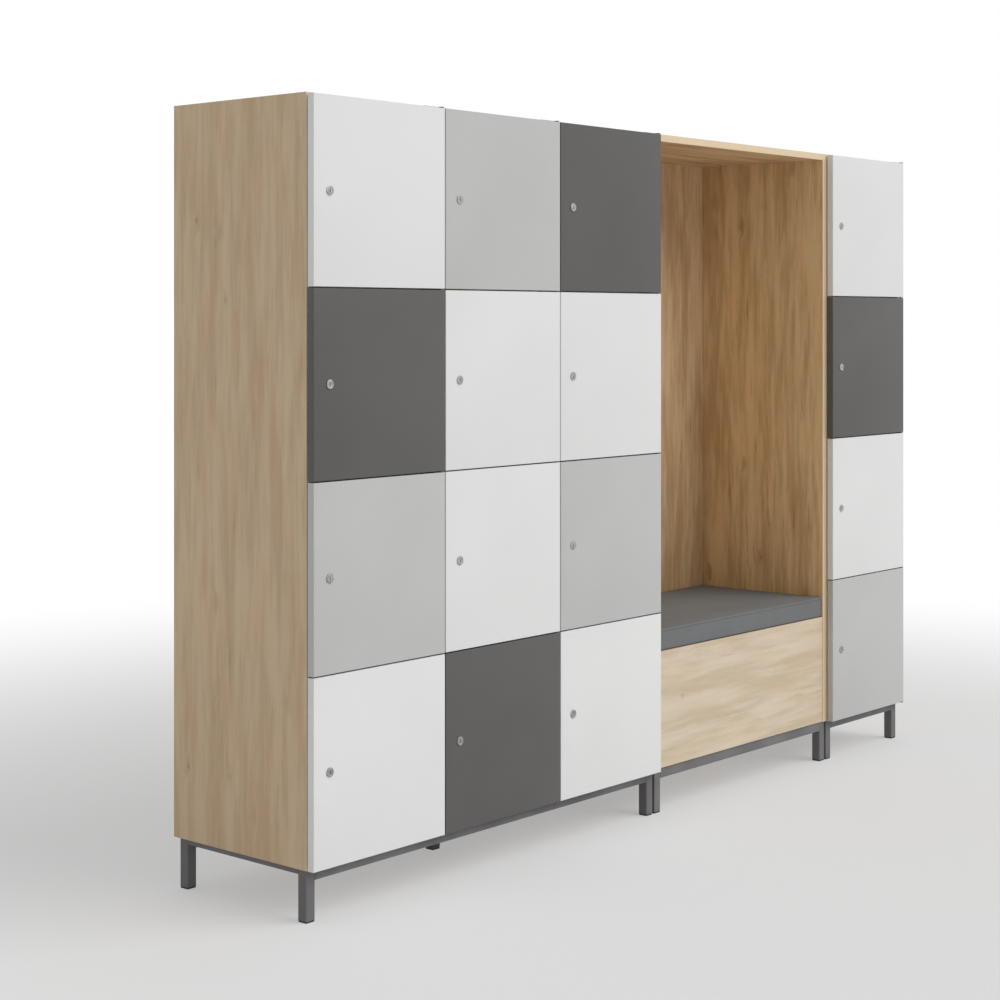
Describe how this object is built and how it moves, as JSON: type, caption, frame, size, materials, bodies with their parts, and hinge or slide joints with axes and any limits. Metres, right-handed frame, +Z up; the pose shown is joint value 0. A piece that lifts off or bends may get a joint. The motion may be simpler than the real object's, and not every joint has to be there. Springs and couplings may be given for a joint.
{
  "type": "mudroom locker unit",
  "caption": "Free-standing locker wall with locking coloured doors beside an open oak seat niche with a grey cushion over a drawer, on dark steel base frames.",
  "frame": {"origin": "on the floor, below the middle of the width and of the depth", "axes": "+Z up, +X along the front to the right as seen from the front, the doors face -Y"},
  "size_m": [2.412, 0.442, 1.71],
  "materials": {
    "oak_board": "oak decor melamine, matt, fine grain",
    "back_board": "thin oak decor board, matt",
    "white_laminate": "white laminate, matt",
    "light_grey_laminate": "light grey laminate, matt",
    "dark_grey_laminate": "dark grey laminate, matt",
    "drawer_board": "pale laminated board",
    "seat_fabric": "grey woven wool felt over foam",
    "frame_steel": "dark grey fine powder coat",
    "zinc_steel": "zinc plated steel",
    "lock_metal": "satin nickel",
    "glide_plastic": "black nylon"
  },
  "bodies": {
    "carcass": {"left_locker_left_side": "oak_board", "left_locker_right_side": "oak_board", "left_locker_bottom": "oak_board", "left_locker_top": "oak_board", "left_locker_dividers": "oak_board", "right_locker_sides": "oak_board", "right_locker_bottom": "oak_board", "right_locker_top": "oak_board", "locker_backs": "back_board", "locker_shelves": "oak_board", "lock_strikes": "zinc_steel", "hinge_brackets": "frame_steel", "hinge_pins": "zinc_steel", "niche_left_side": "oak_board", "niche_right_side": "oak_board", "niche_top": "oak_board", "niche_back": "oak_board", "niche_bottom": "oak_board", "seat_board": "oak_board", "seat_cushion": "seat_fabric", "drawer_runner_rails": "zinc_steel", "base_frame_left": "frame_steel", "base_frame_middle": "frame_steel", "base_frame_right": "frame_steel", "foot_glides": "glide_plastic"},
    "drawer": {"drawer_front": "oak_board", "drawer_box": "drawer_board", "drawer_runner_slides": "zinc_steel"},
    "door_col1_row1": {"door_col1_row1": "white_laminate"},
    "lock_col1_row1": {"lock_col1_row1": "lock_metal"},
    "door_col1_row2": {"door_col1_row2": "light_grey_laminate"},
    "lock_col1_row2": {"lock_col1_row2": "lock_metal"},
    "door_col1_row3": {"door_col1_row3": "dark_grey_laminate"},
    "lock_col1_row3": {"lock_col1_row3": "lock_metal"},
    "door_col1_row4": {"door_col1_row4": "white_laminate"},
    "lock_col1_row4": {"lock_col1_row4": "lock_metal"},
    "door_col2_row1": {"door_col2_row1": "dark_grey_laminate"},
    "lock_col2_row1": {"lock_col2_row1": "lock_metal"},
    "door_col2_row2": {"door_col2_row2": "white_laminate"},
    "lock_col2_row2": {"lock_col2_row2": "lock_metal"},
    "door_col2_row3": {"door_col2_row3": "white_laminate"},
    "lock_col2_row3": {"lock_col2_row3": "lock_metal"},
    "door_col2_row4": {"door_col2_row4": "light_grey_laminate"},
    "lock_col2_row4": {"lock_col2_row4": "lock_metal"},
    "door_col3_row1": {"door_col3_row1": "white_laminate"},
    "lock_col3_row1": {"lock_col3_row1": "lock_metal"},
    "door_col3_row2": {"door_col3_row2": "light_grey_laminate"},
    "lock_col3_row2": {"lock_col3_row2": "lock_metal"},
    "door_col3_row3": {"door_col3_row3": "white_laminate"},
    "lock_col3_row3": {"lock_col3_row3": "lock_metal"},
    "door_col3_row4": {"door_col3_row4": "dark_grey_laminate"},
    "lock_col3_row4": {"lock_col3_row4": "lock_metal"},
    "door_col4_row1": {"door_col4_row1": "light_grey_laminate"},
    "lock_col4_row1": {"lock_col4_row1": "lock_metal"},
    "door_col4_row2": {"door_col4_row2": "white_laminate"},
    "lock_col4_row2": {"lock_col4_row2": "lock_metal"},
    "door_col4_row3": {"door_col4_row3": "dark_grey_laminate"},
    "lock_col4_row3": {"lock_col4_row3": "lock_metal"},
    "door_col4_row4": {"door_col4_row4": "white_laminate"},
    "lock_col4_row4": {"lock_col4_row4": "lock_metal"}
  },
  "joints": [
    {"name": "drawer_slide", "type": "slide", "parent": "carcass", "child": "drawer", "axis": [0, -1, 0], "range_m": [0, 0.25]},
    {"name": "door_col1_row1_swing", "type": "hinge", "parent": "carcass", "child": "door_col1_row1", "pos_m": [-0.8135, -0.2135, 0.11], "axis": [0, 0, 1], "range_deg": [0, 90]},
    {"name": "lock_col1_row1_turn", "type": "hinge", "parent": "door_col1_row1", "child": "lock_col1_row1", "pos_m": [-1.159, -0.219, 0.3085], "axis": [0, 1, 0], "range_deg": [0, 90]},
    {"name": "door_col1_row2_swing", "type": "hinge", "parent": "carcass", "child": "door_col1_row2", "pos_m": [-0.8135, -0.2135, 0.51], "axis": [0, 0, 1], "range_deg": [0, 90]},
    {"name": "lock_col1_row2_turn", "type": "hinge", "parent": "door_col1_row2", "child": "lock_col1_row2", "pos_m": [-1.159, -0.219, 0.7085], "axis": [0, 1, 0], "range_deg": [0, 90]},
    {"name": "door_col1_row3_swing", "type": "hinge", "parent": "carcass", "child": "door_col1_row3", "pos_m": [-0.8135, -0.2135, 0.91], "axis": [0, 0, 1], "range_deg": [0, 90]},
    {"name": "lock_col1_row3_turn", "type": "hinge", "parent": "door_col1_row3", "child": "lock_col1_row3", "pos_m": [-1.159, -0.219, 1.1085], "axis": [0, 1, 0], "range_deg": [0, 90]},
    {"name": "door_col1_row4_swing", "type": "hinge", "parent": "carcass", "child": "door_col1_row4", "pos_m": [-0.8135, -0.2135, 1.31], "axis": [0, 0, 1], "range_deg": [0, 90]},
    {"name": "lock_col1_row4_turn", "type": "hinge", "parent": "door_col1_row4", "child": "lock_col1_row4", "pos_m": [-1.159, -0.219, 1.5085], "axis": [0, 1, 0], "range_deg": [0, 90]},
    {"name": "door_col2_row1_swing", "type": "hinge", "parent": "carcass", "child": "door_col2_row1", "pos_m": [-0.4135, -0.2135, 0.11], "axis": [0, 0, 1], "range_deg": [0, 90]},
    {"name": "lock_col2_row1_turn", "type": "hinge", "parent": "door_col2_row1", "child": "lock_col2_row1", "pos_m": [-0.759, -0.219, 0.3085], "axis": [0, 1, 0], "range_deg": [0, 90]},
    {"name": "door_col2_row2_swing", "type": "hinge", "parent": "carcass", "child": "door_col2_row2", "pos_m": [-0.4135, -0.2135, 0.51], "axis": [0, 0, 1], "range_deg": [0, 90]},
    {"name": "lock_col2_row2_turn", "type": "hinge", "parent": "door_col2_row2", "child": "lock_col2_row2", "pos_m": [-0.759, -0.219, 0.7085], "axis": [0, 1, 0], "range_deg": [0, 90]},
    {"name": "door_col2_row3_swing", "type": "hinge", "parent": "carcass", "child": "door_col2_row3", "pos_m": [-0.4135, -0.2135, 0.91], "axis": [0, 0, 1], "range_deg": [0, 90]},
    {"name": "lock_col2_row3_turn", "type": "hinge", "parent": "door_col2_row3", "child": "lock_col2_row3", "pos_m": [-0.759, -0.219, 1.1085], "axis": [0, 1, 0], "range_deg": [0, 90]},
    {"name": "door_col2_row4_swing", "type": "hinge", "parent": "carcass", "child": "door_col2_row4", "pos_m": [-0.4135, -0.2135, 1.31], "axis": [0, 0, 1], "range_deg": [0, 90]},
    {"name": "lock_col2_row4_turn", "type": "hinge", "parent": "door_col2_row4", "child": "lock_col2_row4", "pos_m": [-0.759, -0.219, 1.5085], "axis": [0, 1, 0], "range_deg": [0, 90]},
    {"name": "door_col3_row1_swing", "type": "hinge", "parent": "carcass", "child": "door_col3_row1", "pos_m": [-0.0135, -0.2135, 0.11], "axis": [0, 0, 1], "range_deg": [0, 90]},
    {"name": "lock_col3_row1_turn", "type": "hinge", "parent": "door_col3_row1", "child": "lock_col3_row1", "pos_m": [-0.359, -0.219, 0.3085], "axis": [0, 1, 0], "range_deg": [0, 90]},
    {"name": "door_col3_row2_swing", "type": "hinge", "parent": "carcass", "child": "door_col3_row2", "pos_m": [-0.0135, -0.2135, 0.51], "axis": [0, 0, 1], "range_deg": [0, 90]},
    {"name": "lock_col3_row2_turn", "type": "hinge", "parent": "door_col3_row2", "child": "lock_col3_row2", "pos_m": [-0.359, -0.219, 0.7085], "axis": [0, 1, 0], "range_deg": [0, 90]},
    {"name": "door_col3_row3_swing", "type": "hinge", "parent": "carcass", "child": "door_col3_row3", "pos_m": [-0.0135, -0.2135, 0.91], "axis": [0, 0, 1], "range_deg": [0, 90]},
    {"name": "lock_col3_row3_turn", "type": "hinge", "parent": "door_col3_row3", "child": "lock_col3_row3", "pos_m": [-0.359, -0.219, 1.1085], "axis": [0, 1, 0], "range_deg": [0, 90]},
    {"name": "door_col3_row4_swing", "type": "hinge", "parent": "carcass", "child": "door_col3_row4", "pos_m": [-0.0135, -0.2135, 1.31], "axis": [0, 0, 1], "range_deg": [0, 90]},
    {"name": "lock_col3_row4_turn", "type": "hinge", "parent": "door_col3_row4", "child": "lock_col3_row4", "pos_m": [-0.359, -0.219, 1.5085], "axis": [0, 1, 0], "range_deg": [0, 90]},
    {"name": "door_col4_row1_swing", "type": "hinge", "parent": "carcass", "child": "door_col4_row1", "pos_m": [1.1985, -0.2135, 0.11], "axis": [0, 0, 1], "range_deg": [0, 90]},
    {"name": "lock_col4_row1_turn", "type": "hinge", "parent": "door_col4_row1", "child": "lock_col4_row1", "pos_m": [0.853, -0.219, 0.3085], "axis": [0, 1, 0], "range_deg": [0, 90]},
    {"name": "door_col4_row2_swing", "type": "hinge", "parent": "carcass", "child": "door_col4_row2", "pos_m": [1.1985, -0.2135, 0.51], "axis": [0, 0, 1], "range_deg": [0, 90]},
    {"name": "lock_col4_row2_turn", "type": "hinge", "parent": "door_col4_row2", "child": "lock_col4_row2", "pos_m": [0.853, -0.219, 0.7085], "axis": [0, 1, 0], "range_deg": [0, 90]},
    {"name": "door_col4_row3_swing", "type": "hinge", "parent": "carcass", "child": "door_col4_row3", "pos_m": [1.1985, -0.2135, 0.91], "axis": [0, 0, 1], "range_deg": [0, 90]},
    {"name": "lock_col4_row3_turn", "type": "hinge", "parent": "door_col4_row3", "child": "lock_col4_row3", "pos_m": [0.853, -0.219, 1.1085], "axis": [0, 1, 0], "range_deg": [0, 90]},
    {"name": "door_col4_row4_swing", "type": "hinge", "parent": "carcass", "child": "door_col4_row4", "pos_m": [1.1985, -0.2135, 1.31], "axis": [0, 0, 1], "range_deg": [0, 90]},
    {"name": "lock_col4_row4_turn", "type": "hinge", "parent": "door_col4_row4", "child": "lock_col4_row4", "pos_m": [0.853, -0.219, 1.5085], "axis": [0, 1, 0], "range_deg": [0, 90]}
  ]
}
